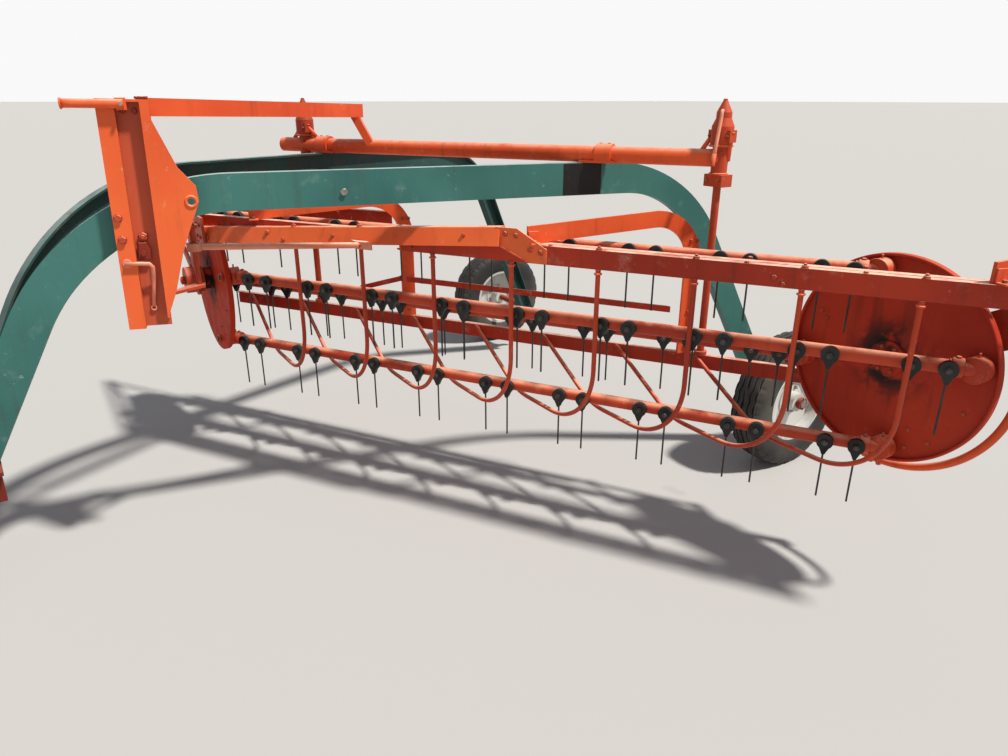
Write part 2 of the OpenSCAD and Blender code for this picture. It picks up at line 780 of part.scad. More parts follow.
module tine_bar(k) {
  out_front = disc_front_y - disc_t - play;
  out_rear = disc_rear_y + disc_t + play;
  color("#d4552e") placed() at_bar(k) {
    translate([0, line_y0, 0]) rotate([0, 0, line_a]) rotate([0, 90, 0]) cylinder(d = bar_d, h = line_len);
    along_y(line_y0 - cast_w / 2, line_y0 + cast_w / 2, cast_d);
    along_y(disc_front_y + 1, line_y0, 46);
    along_y(out_front - 10, line_y0, spindle_d);
    along_y(out_front - 10, out_front, 40);
    translate([reel_x, 0, 0]) {
      along_y(line_y1 - cast_w / 2, line_y1 + cast_w / 2, cast_d);
      along_y(line_y1, disc_rear_y - play, 46);
      along_y(line_y1, out_rear + 10, spindle_d);
      along_y(out_rear, out_rear + 10, 44);
    }
  }
}

module each_tine(k) {
  at_bar(k) translate([0, line_y0, 0]) rotate([0, 0, line_a])
    for (i = [0 : tine_pairs - 1], j = [0, 1])
      translate([tine_start + i * tine_pitch + j * tine_gap, -bar_d / 2 - seat, 0]) children();
}

module tine_block() {
  difference() {
    union() {
      rotate([90, 0, 0]) linear_extrude(block_t) {
        circle(d = block_head);
        polygon([[-25, -7], [25, -7], [block_tip / 2, -block_drop], [-block_tip / 2, -block_drop]]);
        translate([0, -block_drop]) circle(d = block_tip);
      }
      translate([0, -block_t, 0]) rotate([90, 0, 0]) cylinder(d = 20, h = 8, $fn = 24);
    }
    translate([0, -block_t / 2, -block_drop - 20]) cylinder(d = tine_d + 2 * seat, h = 50, $fn = 16);
  }
}

module tine() {
  low = block_drop + block_tip / 2 + tine_len;
  translate([0, -block_t / 2, -low]) cylinder(d = tine_d, h = low - block_drop + 28, $fn = 16);
}

module bar_1() { tine_bar(1); }

module bar_2() { tine_bar(2); }

module bar_3() { tine_bar(3); }

module bar_4() { tine_bar(4); }

module blocks_1() { color("#1f1f20") placed() each_tine(1) tine_block(); }

module blocks_2() { color("#1f1f20") placed() each_tine(2) tine_block(); }

module blocks_3() { color("#1f1f20") placed() each_tine(3) tine_block(); }

module blocks_4() { color("#1f1f20") placed() each_tine(4) tine_block(); }

module tines_1() { color("#35322f") placed() each_tine(1) tine(); }

module tines_2() { color("#35322f") placed() each_tine(2) tine(); }

module tines_3() { color("#35322f") placed() each_tine(3) tine(); }

module tines_4() { color("#35322f") placed() each_tine(4) tine(); }

near_beam();
far_beam();
beam_band();
hitch_head();
drawbar();
hitch_clevis();
jack_tube();
jack_leg();
mast();
boom();
lift_tube();
tube_saddles();
lift_sleeves();
link_guide();
axle_left();
axle_right();
tyre_left();
rim_left();
tyre_right();
rim_right();
front_bar();
near_rail();
low_rail();
mid_rail();
arch_bars();
front_end();
rear_end();
strippers();
end_guard();
lift_rods();
drag_link();
disc_front();
disc_rear();
bar_1();
bar_2();
bar_3();
bar_4();
blocks_1();
blocks_2();
blocks_3();
blocks_4();
tines_1();
tines_2();
tines_3();
tines_4();
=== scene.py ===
import math
import random

import bmesh
import bpy
from mathutils import Matrix, Vector


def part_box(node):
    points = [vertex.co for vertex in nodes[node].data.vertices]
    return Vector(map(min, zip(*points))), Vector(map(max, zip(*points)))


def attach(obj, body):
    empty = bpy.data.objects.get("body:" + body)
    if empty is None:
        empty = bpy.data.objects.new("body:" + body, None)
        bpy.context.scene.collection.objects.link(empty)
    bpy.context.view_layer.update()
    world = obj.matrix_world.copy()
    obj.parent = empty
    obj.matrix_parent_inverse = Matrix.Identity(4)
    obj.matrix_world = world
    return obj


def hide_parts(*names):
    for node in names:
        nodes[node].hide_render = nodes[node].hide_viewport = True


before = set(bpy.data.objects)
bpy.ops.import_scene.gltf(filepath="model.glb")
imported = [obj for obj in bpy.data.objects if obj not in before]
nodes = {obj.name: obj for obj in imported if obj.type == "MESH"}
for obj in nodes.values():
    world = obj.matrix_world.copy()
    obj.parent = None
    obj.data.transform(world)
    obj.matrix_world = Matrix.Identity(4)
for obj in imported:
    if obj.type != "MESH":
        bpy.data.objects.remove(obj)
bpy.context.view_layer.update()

# sizes of the frame's solids, in drawing millimetres
APEX = Vector((939.4, -1200, 0))  # where the arch beams meet
NEAR_SLANT = 0.217  # sideways run of the near beam per rearward run
FAR_SLANT = -0.373
NEAR_LEG = 3518  # from the apex to the wheel's axle, along the beam
FAR_LEG = 3524
AXLE_Z = 330
NEAR_HUB_X = 1850
FAR_HUB_X = -640
MAST_S = 700  # place of the mast along the near beam
MAST_LOW = 950
MAST_LEAN = math.radians(1.6)
MAST_FACE = 48.3  # outer faces of the mast, out from the beam's web
RECESS_FLOOR = 8.3
RECESS_WALL = 45  # from the mast's front edge
TUBE_SIDE = -460  # x of the lift tube where the tine bars start
SADDLE_FOOT = 1476.3  # where the saddles' and the hitch head's bolts sit
SADDLE_TOP = 1541
HEAD_TOP = 469.7
HEAD_UNDER = 455.7

# sizes of the reel's and the basket's solids
REEL_Z = 853
REAR_X = 2590  # how far the rear disc stands to the left of the front one
BAR_START = 27  # y of the tine bars' front and rear ends
BAR_END = 1676
PIVOT_R = 316  # circle that the bars travel on
PIVOT_TURN = 11.3
FRONT_FACE = -10  # y of each disc's face beside the bars
REAR_FACE = 1713
FRONT_SPINDLE = -41  # y of the bars' spindle ends
REAR_SPINDLE = 1744
FRONT_SHAFT = -165  # y of the discs' shaft ends
REAR_SHAFT = 1868
TINE_PAIRS = 9
FIRST_BLOCK = 118
PITCH = 346  # of the tine pairs and of the stripper rods
PAIR_GAP = 105
STRIPPERS = 8
FIRST_STRIPPER = 343.5
RAIL_SIDE = 450  # x of the near rail where the tine bars start
RAIL_TOP = 1203
RAIL_LEDGE = 1133
RAIL_START = 880  # ahead of it the strippers hang on the leaning bar
BAR_TOP = 1167  # top of that bar where the tine bars start
BAR_RISE = math.radians(4)
BAR_LEAN = 26 / 68  # how far that bar's face leans in per drop
ARCHES = (100, 1458, 2950)  # places of the arch bars along the rail
FRONT_END_FACE = -97  # y of the outer faces of the basket's ends
REAR_END_FACE = 1800

# the drawing point below the front disc, seen from the middle of the outer box
disc_low, disc_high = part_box("disc_front")
DISC_BACK = 0.004
ORIGIN = Vector(((disc_low.x + disc_high.x) / 2, disc_high.y - DISC_BACK, 0))

# drawing directions: U along the tine bars and V out from the near rail
X = Vector((1, 0, 0))
Y = Vector((0, 1, 0))
Z = Vector((0, 0, 1))
U = Vector((0.84348, 0.53715, 0))
V = Vector((U.y, -U.x, 0))
SLOPE = U.x / U.y
NEAR_A = math.atan2(1, NEAR_SLANT)
FAR_A = math.atan2(1, FAR_SLANT)
ALONG = Vector((math.cos(NEAR_A), math.sin(NEAR_A), 0))
OUT = Vector((math.sin(NEAR_A), -math.cos(NEAR_A), 0))
FAR_ALONG = Vector((math.cos(FAR_A), math.sin(FAR_A), 0))
FAR_OUT = Vector((-math.sin(FAR_A), math.cos(FAR_A), 0))
HEAD = -Vector((math.cos((NEAR_A + FAR_A) / 2), math.sin((NEAR_A + FAR_A) / 2), 0))
HEAD_SIDE = Vector((-HEAD.y, HEAD.x, 0))
ARCH_A = math.radians(73.63)
ARCH = Vector((math.sin(ARCH_A), -math.cos(ARCH_A), 0))
ARCH_ALONG = Vector((-ARCH.y, ARCH.x, 0))


def mm(x, y, z):
    """A drawing point in millimetres as a place in the scene."""
    return ORIGIN + Vector((x, y, z)) / 1000


def rail(s, w, z):
    """s along the near rail, w out from its face."""
    return Vector((RAIL_SIDE, BAR_START, 0)) + U * s + V * w + Z * z


def near(s, w, z):
    """s along the near arch beam, w out from its web."""
    return APEX + ALONG * s + OUT * w + Z * z


def head(x, y, z):
    """x forward from the point where the beams meet."""
    return APEX + HEAD * x + HEAD_SIDE * y + Z * z


def mast(x, w, z):
    """x across the leaning mast, w out from the beam."""
    up = z - MAST_LOW
    across = MAST_S + x * math.cos(MAST_LEAN) + up * math.sin(MAST_LEAN)
    return near(across, w, MAST_LOW - x * math.sin(MAST_LEAN) + up * math.cos(MAST_LEAN))


def on_tube(y):
    """Point on the ground below the lift tube."""
    return Vector((TUBE_SIDE + (y - BAR_START) * SLOPE, y, 0))


def bar_top(s):
    """Top of the leaning front bar of the rail."""
    return BAR_TOP + s * math.tan(BAR_RISE)


def stripper(k):
    """Run of the kth stripper rod along the rail, and the spot on the ground below its top."""
    s = FIRST_STRIPPER + PITCH * k
    return s, Vector((RAIL_SIDE - 10, BAR_START, 0)) + U * s


def arch_foot(s):
    """Spot on the ground below an arch bar's foot."""
    return Vector((RAIL_SIDE - 30, BAR_START, 0)) + U * s


def pivot(k):
    """Centre of the pivot circle's kth bar, as x and z."""
    a = math.radians(PIVOT_TURN - 90 * (k - 1))
    return PIVOT_R * math.cos(a), REEL_Z + PIVOT_R * math.sin(a)


def around(a, b, radius, t):
    """Step from the centre to the angle t of a circle that lies in the directions a and b."""
    return (a * math.cos(t) + b * math.sin(t)) * radius


SLEEVES = [on_tube(y) for y in (465, 1530)]


# shading graph
class Graph:
    """Builds one node material, a few lines at a time."""

    def __init__(self, name):
        self.material = bpy.data.materials.new(name)
        self.material.use_nodes = True
        self.tree = self.material.node_tree
        self.shader = self.tree.nodes["Principled BSDF"]
        self.coord = self.tree.nodes.new("ShaderNodeTexCoord")

    def link(self, source, target):
        self.tree.links.new(source, target)

    def feed(self, socket, value):
        """Link another node's output, or set a plain value."""
        if isinstance(value, bpy.types.NodeSocket):
            self.link(value, socket)
        elif isinstance(value, (tuple, list)) and len(value) == 3 and socket.type == "RGBA":
            socket.default_value = (*value, 1)
        else:
            socket.default_value = value

    def noise(self, scale, detail, rough, stretch=(1, 1, 1), shift=(0, 0, 0)):
        place = self.tree.nodes.new("ShaderNodeMapping")
        place.inputs["Scale"].default_value = stretch
        place.inputs["Location"].default_value = shift
        self.link(self.coord.outputs["Object"], place.inputs["Vector"])
        node = self.tree.nodes.new("ShaderNodeTexNoise")
        node.inputs["Scale"].default_value = scale
        node.inputs["Detail"].default_value = detail
        node.inputs["Roughness"].default_value = rough
        self.link(place.outputs["Vector"], node.inputs["Vector"])
        return node.outputs["Fac"]

    def ramp(self, value, low, high, to_low=0.0, to_high=1.0):
        node = self.tree.nodes.new("ShaderNodeMapRange")
        node.interpolation_type = "SMOOTHSTEP"
        self.feed(node.inputs["Value"], value)
        node.inputs["From Min"].default_value = low
        node.inputs["From Max"].default_value = high
        node.inputs["To Min"].default_value = to_low
        node.inputs["To Max"].default_value = to_high
        return node.outputs["Result"]

    def math(self, operation, a, b=0.0):
        node = self.tree.nodes.new("ShaderNodeMath")
        node.operation = operation
        node.use_clamp = operation in ("ADD", "MULTIPLY", "MAXIMUM")
        self.feed(node.inputs[0], a)
        self.feed(node.inputs[1], b)
        return node.outputs[0]

    def times(self, a, b):
        return self.math("MULTIPLY", a, b)

    def mix(self, factor, a, b):
        node = self.tree.nodes.new("ShaderNodeMix")
        node.data_type = "RGBA"
        self.feed(node.inputs["Factor"], factor)
        self.feed(node.inputs["A"], a)
        self.feed(node.inputs["B"], b)
        return node.outputs["Result"]

    def upward(self):
        """How far a face looks up."""
        node = self.tree.nodes.new("ShaderNodeSeparateXYZ")
        self.link(self.coord.outputs["Normal"], node.inputs[0])
        return node.outputs["Z"]

    def edges(self, radius):
        """One near sharp edges, found with a bevelled normal."""
        bevel = self.tree.nodes.new("ShaderNodeBevel")
        bevel.samples = 4
        bevel.inputs["Radius"].default_value = radius
        geometry = self.tree.nodes.new("ShaderNodeNewGeometry")
        dot = self.tree.nodes.new("ShaderNodeVectorMath")
        dot.operation = "DOT_PRODUCT"
        self.link(bevel.outputs["Normal"], dot.inputs[0])
        self.link(geometry.outputs["Normal"], dot.inputs[1])
        return self.ramp(self.math("SUBTRACT", 1.0, dot.outputs["Value"]), 0.02, 0.22)

    def measure(self, operation, vector):
        """Distance to a place, or reach along a direction with DOT_PRODUCT."""
        node = self.tree.nodes.new("ShaderNodeVectorMath")
        node.operation = operation
        self.link(self.coord.outputs["Object"], node.inputs[0])
        node.inputs[1].default_value = vector
        return node.outputs["Value"]

    def bump(self, height, distance, strength=1.0):
        node = self.tree.nodes.new("ShaderNodeBump")
        node.inputs["Distance"].default_value = distance
        node.inputs["Strength"].default_value = strength
        self.feed(node.inputs["Height"], height)
        self.link(node.outputs["Normal"], self.shader.inputs["Normal"])

    def finish(self, colour, roughness, metallic=0.0, specular=0.5):
        self.feed(self.shader.inputs["Base Color"], colour)
        self.feed(self.shader.inputs["Roughness"], roughness)
        self.feed(self.shader.inputs["Metallic"], metallic)
        self.shader.inputs["Specular IOR Level"].default_value = specular
        return self.material


RUST = (0.19, 0.055, 0.02)
RUST_DARK = (0.075, 0.025, 0.014)
GREASE = (0.02, 0.013, 0.011)
GREASE_THIN = (0.05, 0.02, 0.014)
RECESS_SHADE = (0.34, 0.075, 0.045)


def painted(name, base, deep, fade_and_highlight_colour, rusting, top_fade_and_highlight, dirt, gloss, shine=0.22, smear=None, recess=False):
    """Old machine paint: sun-faded and lighter on top as a painted highlight, chipped to rust at edges, scuffed
    and streaked with dirt.

    smear is the place of a greasy hub, and recess paints shade inside the mast's recess.
    """
    g = Graph(name)
    broad = g.noise(1.6, 3, 0.5)
    mottle = g.noise(13, 6, 0.62, shift=(3, 1, 7))
    fine = g.noise(95, 4, 0.6, shift=(9, 2, 4))
    streak = g.noise(26, 4, 0.6, stretch=(1, 1, 0.09), shift=(1, 8, 2))
    scrape = g.noise(31, 7, 0.78, shift=(5, 5, 1))
    up = g.ramp(g.upward(), 0.35, 0.95)
    edge = g.edges(0.005)

    colour = g.mix(g.ramp(broad, 0.3, 0.62), deep, base)
    colour = g.mix(g.ramp(mottle, 0.56, 0.8, 0, 0.22), colour, fade_and_highlight_colour)
    patches = g.math("ADD", g.times(mottle, 0.6), g.times(broad, 0.4))
    # top faces lighten toward the faded colour: partly sun-fading of the paint, partly a painted highlight where
    # the sun falls
    top_fade_and_highlight_mask = g.times(up, g.ramp(patches, 0.3, 0.54))
    colour = g.mix(g.times(top_fade_and_highlight_mask, top_fade_and_highlight), colour, fade_and_highlight_colour)
    scuff = g.times(g.ramp(scrape, 0.6, 0.68), g.ramp(mottle, 0.42, 0.6))
    colour = g.mix(g.times(scuff, 0.5), colour, fade_and_highlight_colour)
    grime = g.times(g.ramp(streak, 0.5, 0.78), dirt)
    colour = g.mix(grime, colour, RUST_DARK)

    if smear:
        reach = g.measure("DISTANCE", smear)
        thick = g.times(g.ramp(reach, 0.07, 0.19, 1, 0), g.ramp(mottle, 0.4, 0.56))
        colour = g.mix(thick, colour, GREASE)
        thin = g.times(g.ramp(reach, 0.12, 0.36, 0.3, 0), g.ramp(streak, 0.5, 0.7))
        colour = g.mix(thin, colour, GREASE_THIN)
    # painted shade: the paint inside the mast's recess is darkened as if shaded
    if recess:
        web = mm(*APEX).dot(OUT)
        recess_shade_mask = g.ramp(g.measure("DOT_PRODUCT", OUT), web + 0.036, web + 0.043, 0.6, 0)
        colour = g.mix(recess_shade_mask, colour, RECESS_SHADE)

    worn = g.math("ADD", g.times(edge, 0.3), g.times(mottle, 0.62))
    worn = g.math("ADD", worn, g.times(fine, 0.26))
    rust = g.ramp(worn, 0.79 - 0.17 * rusting, 0.87 - 0.15 * rusting)
    tone = g.mix(g.ramp(fine, 0.35, 0.7), RUST_DARK, RUST)
    colour = g.mix(g.times(rust, 0.9), colour, tone)
    rough = g.math("ADD", g.ramp(mottle, 0.3, 0.8, gloss - 0.06, gloss + 0.2), g.times(rust, 0.3))
    g.bump(g.math("SUBTRACT", g.times(fine, 0.5), g.times(rust, 0.45)), 0.0009, 0.7)
    return g.finish(colour, rough, 0.0, shine)


def bare_steel(name, base, dark, rusting, metallic, gloss):
    """Unpainted steel that has dulled, with brown rust bloom."""
    g = Graph(name)
    mottle = g.noise(22, 5, 0.6)
    fine = g.noise(160, 3, 0.6, shift=(2, 5, 1))
    colour = g.mix(g.ramp(mottle, 0.35, 0.7), dark, base)
    bloom = g.math("ADD", g.times(mottle, 0.7), g.times(fine, 0.3))
    rust = g.ramp(bloom, 0.62 - 0.2 * rusting, 0.78)
    colour = g.mix(g.times(rust, 0.85), colour, RUST)
    g.bump(g.math("ADD", g.times(fine, 0.5), rust), 0.0004, 0.6)
    return g.finish(colour, g.ramp(mottle, 0.3, 0.8, gloss, gloss + 0.3), metallic)


def rubber(name, base, dusty, dust_amount, scale, gloss):
    """Black rubber, greyed and dusty in patches."""
    g = Graph(name)
    patch = g.noise(scale * 0.2, 4, 0.6)
    fine = g.noise(scale * 5, 3, 0.6)
    colour = g.mix(g.ramp(patch, 0.4, 0.75, 0, dust_amount), base, dusty)
    colour = g.mix(g.ramp(fine, 0.55, 0.8, 0, 0.25), colour, dusty)
    g.bump(g.math("ADD", g.times(fine, 0.6), g.times(patch, 0.3)), 0.0008, 0.5)
    return g.finish(colour, g.ramp(patch, 0.3, 0.8, gloss, gloss + 0.25), 0.0, 0.35)


# materials: fresh, deep and faded colours, the faded one also serving as a painted highlight on top faces, then
# how worn they are
BRIGHT = dict(base=(0.86, 0.15, 0.04), deep=(0.74, 0.105, 0.028), fade_and_highlight_colour=(0.9, 0.46, 0.3),
              rusting=0.18, top_fade_and_highlight=0.85, dirt=0.22, gloss=0.38)
DISC = dict(base=(0.5, 0.042, 0.016), deep=(0.38, 0.028, 0.012), fade_and_highlight_colour=(0.7, 0.15, 0.07),
            rusting=0.3, top_fade_and_highlight=0.4, dirt=0.2, gloss=0.56)
MAT = {
    "green": painted("green_paint", (0.055, 0.185, 0.16), (0.032, 0.125, 0.11), (0.36, 0.48, 0.45),
                     rusting=0.3, top_fade_and_highlight=0.85, dirt=0.25, gloss=0.42),
    # far beam: a darker copy of the green paint, as painted shade on its inner side
    "green_shaded": painted("green_paint_shaded", (0.022, 0.07, 0.062), (0.012, 0.036, 0.034), (0.24, 0.31, 0.29),
                         rusting=0.35, top_fade_and_highlight=0.8, dirt=0.6, gloss=0.45),
    "orange": painted("orange_paint", (0.78, 0.11, 0.028), (0.6, 0.068, 0.018), (0.86, 0.38, 0.24),
                      rusting=0.3, top_fade_and_highlight=0.75, dirt=0.3, gloss=0.4),
    "bright": painted("bright_orange_paint", **BRIGHT),
    "mast": painted("mast_paint", **BRIGHT, recess=True),
    "rail": painted("rail_paint", (0.48, 0.04, 0.014), (0.36, 0.028, 0.011), (0.84, 0.5, 0.37),
                    rusting=0.35, top_fade_and_highlight=1.0, dirt=0.4, gloss=0.5),
    "bar": painted("bar_paint", (0.57, 0.064, 0.021), (0.41, 0.039, 0.015), (0.86, 0.4, 0.25),
                   rusting=0.45, top_fade_and_highlight=0.85, dirt=0.35, gloss=0.42),
    "red": painted("red_paint", (0.5, 0.065, 0.022), (0.32, 0.035, 0.014), (0.72, 0.26, 0.16),
                   rusting=0.5, top_fade_and_highlight=0.6, dirt=0.45, gloss=0.5),
    "dark_red": painted("dark_red_paint", (0.26, 0.03, 0.014), (0.14, 0.017, 0.01), (0.45, 0.16, 0.1),
                        rusting=0.7, top_fade_and_highlight=0.5, dirt=0.5, gloss=0.55),
    "disc_front": painted("disc_paint", **DISC, shine=0.04, smear=mm(0, FRONT_FACE - 12, REEL_Z)),
    "disc_rear": painted("disc_paint_rear", **DISC, shine=0.18, smear=mm(REAR_X, REAR_FACE + 9, REEL_Z)),
    "pink": painted("pink_paint", (0.8, 0.3, 0.19), (0.68, 0.17, 0.09), (0.92, 0.62, 0.48),
                    rusting=0.4, top_fade_and_highlight=1.0, dirt=0.2, gloss=0.5),
    # plain black on the band across the near beam's web
    "black": painted("black_paint", (0.014, 0.014, 0.014), (0.006, 0.006, 0.006), (0.06, 0.06, 0.055),
                     rusting=0.15, top_fade_and_highlight=0.5, dirt=0.1, gloss=0.4),
    "white": painted("white_paint", (0.6, 0.6, 0.57), (0.5, 0.49, 0.45), (0.66, 0.65, 0.62),
                     rusting=0.45, top_fade_and_highlight=0.4, dirt=0.5, gloss=0.45),
    "bolt_paint": painted("bolt_paint", (0.5, 0.075, 0.03), (0.3, 0.04, 0.02), (0.85, 0.42, 0.3),
                          rusting=0.75, top_fade_and_highlight=0.8, dirt=0.3, gloss=0.4),
    "weld_orange": painted("weld_paint", (0.6, 0.09, 0.026), (0.4, 0.05, 0.018), (0.7, 0.25, 0.15),
                           rusting=0.6, top_fade_and_highlight=0.5, dirt=0.4, gloss=0.5),
    "steel": bare_steel("grey_steel", (0.38, 0.36, 0.33), (0.2, 0.185, 0.165),
                        rusting=0.45, metallic=0.6, gloss=0.42),
    "bolt": bare_steel("bolt_steel", (0.42, 0.39, 0.35), (0.2, 0.17, 0.14),
                       rusting=0.3, metallic=0.75, gloss=0.35),
    "dark_bolt": bare_steel("dark_bolt_steel", (0.09, 0.085, 0.078), (0.035, 0.032, 0.03),
                            rusting=0.3, metallic=0.6, gloss=0.32),
    "wire": bare_steel("wire_steel", (0.065, 0.058, 0.052), (0.03, 0.026, 0.024),
                       rusting=0.35, metallic=0.6, gloss=0.4),
    "block": rubber("block_rubber", (0.006, 0.006, 0.006), (0.055, 0.05, 0.045), 0.5, scale=60, gloss=0.42),
    "grip": rubber("grip_rubber", (0.012, 0.012, 0.012), (0.08, 0.07, 0.06), 0.5, scale=40, gloss=0.5),
    "tyre": rubber("tyre_rubber", (0.018, 0.018, 0.018), (0.12, 0.105, 0.085), 0.6, scale=16, gloss=0.6),
}

SOLIDS = {
    "green": ["near_beam"],
    "green_shaded": ["far_beam"],
    "black": ["beam_band"],
    "mast": ["mast"],
    "bright": ["front_bar"],
    "orange": ["boom", "lift_tube", "tube_saddles", "arch_bars", "end_guard"],
    "red": ["drawbar", "lift_sleeves", "link_guide", "front_end", "rear_end", "lift_rods"],
    "dark_red": ["hitch_head", "hitch_clevis", "axle_left", "axle_right"],
    "steel": ["jack_tube", "jack_leg"],
    "tyre": ["tyre_left", "tyre_right"],
    "white": ["rim_left", "rim_right"],
    "rail": ["near_rail", "low_rail", "mid_rail"],
    "bar": ["strippers"] + ["bar_" + k for k in "1234"],
    "block": ["blocks_" + k for k in "1234"],
    "wire": ["tines_" + k for k in "1234"],
    "pink": ["drag_link"],
    "disc_front": ["disc_front"],
    "disc_rear": ["disc_rear"],
}
for material_name, node_names in SOLIDS.items():
    for node_name in node_names:
        mesh = nodes[node_name].data
        mesh.materials.clear()
        mesh.materials.append(MAT[material_name])


# small parts
class Piece:
    """Small parts in drawing millimetres that ride on one body as a single named mesh."""

    def __init__(self, name, body, *materials):
        self.name = name
        self.body = body
        self.materials = materials
        self.mesh = bmesh.new()
        self.dice = random.Random(name)

    def rings(self, rings, material=0, smooth=True, loop=False):
        """Skin over closed rings of points, with caps unless it loops."""
        made = [[self.mesh.verts.new(mm(*p)) for p in ring] for ring in rings]
        pairs = list(zip(made, made[1:]))
        if loop:
            pairs.append((made[-1], made[0]))
        for low, high in pairs:
            for i in range(len(low)):
                j = (i + 1) % len(low)
                face = self.mesh.faces.new((low[i], low[j], high[j], high[i]))
                face.smooth = smooth
                face.material_index = material
        if not loop:
            for cap in (made[0][::-1], made[-1]):
                self.mesh.faces.new(cap).material_index = material

    def turned(self, base, axis, profile, sides, material=0, turn=0.0, smooth=False):
        """Solid of (height, radius) steps along an axis."""
        axis = Vector(axis).normalized()
        a = axis.orthogonal().normalized()
        b = axis.cross(a)
        angles = [turn + 2 * math.pi * i / sides for i in range(sides)]
        rings = []
        for height, radius in profile:
            middle = base + axis * height
            rings.append([middle + around(a, b, radius, t) for t in angles])
        self.rings(rings, material, smooth)

    def bolt(self, base, axis, size, washer=True, end=False):
        """Hexagon head or nut on a washer, size being the thread in millimetres."""
        if washer:
            self.turned(base, axis, [(-1, size * 1.05), (size * 0.16, size * 1.1), (size * 0.2, size * 1.04)], 20)
        low = size * 0.2 if washer else -1
        high = low + size * 0.65
        top = [(low, size * 0.9), (low, size), (high - size * 0.1, size), (high, size * 0.86)]
        self.turned(base, axis, top, 6, turn=self.dice.uniform(0, 1))
        if end:
            thread = [(high - 1, size * 0.5), (high + size * 0.5, size * 0.5), (high + size * 0.6, size * 0.4)]
            self.turned(base, axis, thread, 12)

    def dome(self, base, axis, radius, rise):
        """Round head."""
        angles = [t * math.pi / 10 for t in range(1, 5)]
        steps = [(-1, radius)] + [(rise * math.sin(t), radius * math.cos(t)) for t in angles]
        self.turned(base, axis, steps, 14, smooth=True)

    def nipple(self, base, axis):
        """Grease nipple."""
        self.turned(base, axis, [(-2, 5), (3, 5), (3, 3.4), (9, 3.2), (11, 4.2), (14, 4.2), (16, 2)], 10)

    def tube(self, points, radius, sides=12, material=0, wobble=0.0, loop=False):
        """Round bar swept along points."""
        count = len(points)
        rings = []
        side = None
        for i, p in enumerate(points):
            before = points[(i - 1) % count] if loop or i else p
            after = points[(i + 1) % count] if loop or i < count - 1 else p
            run = (after - before).normalized()
            if side is None:
                side = run.orthogonal().normalized()
            side = (side - run * side.dot(run)).normalized()
            other = run.cross(side)
            r = radius * (1 + self.dice.uniform(-wobble, wobble))
            rings.append([p + around(side, other, r, 2 * math.pi * j / sides) for j in range(sides)])
        self.rings(rings, material, True, loop)

    def ring(self, centre, axis, radius, thick, steps=28, sides=10, material=0, wobble=0.0):
        """Round bar bent to a circle."""
        axis = Vector(axis).normalized()
        a = axis.orthogonal().normalized()
        b = axis.cross(a)
        path = [centre + around(a, b, radius, 2 * math.pi * i / steps) for i in range(steps)]
        self.tube(path, thick, sides, material, wobble, True)

    def weld(self, start, end, radius=4.0):
        """Uneven bead along a joint."""
        count = max(3, int((end - start).length / (radius * 1.1)))
        path = []
        for i in range(count + 1):
            shake = Vector([self.dice.uniform(-0.12, 0.12) * radius for _ in range(3)])
            path.append(start.lerp(end, i / count) + shake)
        self.tube(path, radius, 8, 0, 0.16)

    def plate(self, corners, normal, thick, edge=1.5, material=0):
        """Flat plate with eased edges, its outline given on its inner face."""
        middle = sum(corners, Vector()) / len(corners)
        inner = [c + (middle - c).normalized() * edge for c in corners]
        low = [c + normal * edge for c in corners]
        high = [c + normal * (thick - edge) for c in corners]
        rings = [inner, low, high, [c + normal * thick for c in inner]]
        if (corners[1] - corners[0]).cross(corners[2] - corners[1]).dot(normal) < 0:
            rings = [ring[::-1] for ring in rings]
        self.rings(rings, material, False)

    def done(self):
        finish_mesh(self.name, self.body, self.mesh, self.materials)


def finish_mesh(name, body, mesh, materials):
    """Turn a bmesh into a named object that rides on a body."""
    bmesh.ops.recalc_face_normals(mesh, faces=mesh.faces)
    data = bpy.data.meshes.new(name)
    mesh.to_mesh(data)
    mesh.free()
    obj = bpy.data.objects.new(name, data)
    bpy.context.scene.collection.objects.link(obj)
    for material in materials:
        data.materials.append(MAT[material])
    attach(obj, body)
    return obj


# fasteners on the frame
p = Piece("frame_bolts", "frame", "bolt_paint")
for s, z in ((728, 1337), (730, 1264)):
    p.bolt(near(s, MAST_FACE, z), OUT, 13)
p.bolt(near(791, RECESS_FLOOR, 1266), OUT, 15, end=True)
for x in (74, 108):
    p.bolt(mast(x, RECESS_FLOOR, 1676), OUT, 9)
for slant, ahead, low, high in ((NEAR_SLANT, 40, -100, 50), (FAR_SLANT, 22, -62, 62)):
    y = (APEX.x - slant * APEX.y - TUBE_SIDE + SLOPE * BAR_START) / (SLOPE - slant)
    saddle = on_tube(y) + Vector((ahead, ahead / SLOPE, 0))
    for s in (low + 16, high - 16):
        for w in (-22, 22):
            p.bolt(saddle + U * s + V * w + Z * SADDLE_FOOT, Z, 9)
    for s in (-18, 18):
        p.bolt(saddle + U * s + Z * SADDLE_TOP, Z, 7, washer=False)
for x in (-176, 72):
    for y in (-78, 78):
        p.bolt(head(x, y, HEAD_TOP), Z, 10)
        p.bolt(head(x, y, HEAD_UNDER), -Z, 10)
for x in (-150, -70, 30):
    for side in (-1, 1):
        p.bolt(head(x, side * 55.3, 415), HEAD_SIDE * side, 9)
for x in (-12, 30):
    p.bolt(head(x, 102, 432), Z, 7)
for leg, line, away in ((NEAR_LEG, ALONG, OUT), (FAR_LEG, FAR_ALONG, FAR_OUT)):
    boss = APEX + line * leg + away * 24.3 + Z * AXLE_Z
    for k in range(6):
        p.bolt(boss + around(line, Z, 36, math.pi * (k / 3 + 0.1)), away, 5)
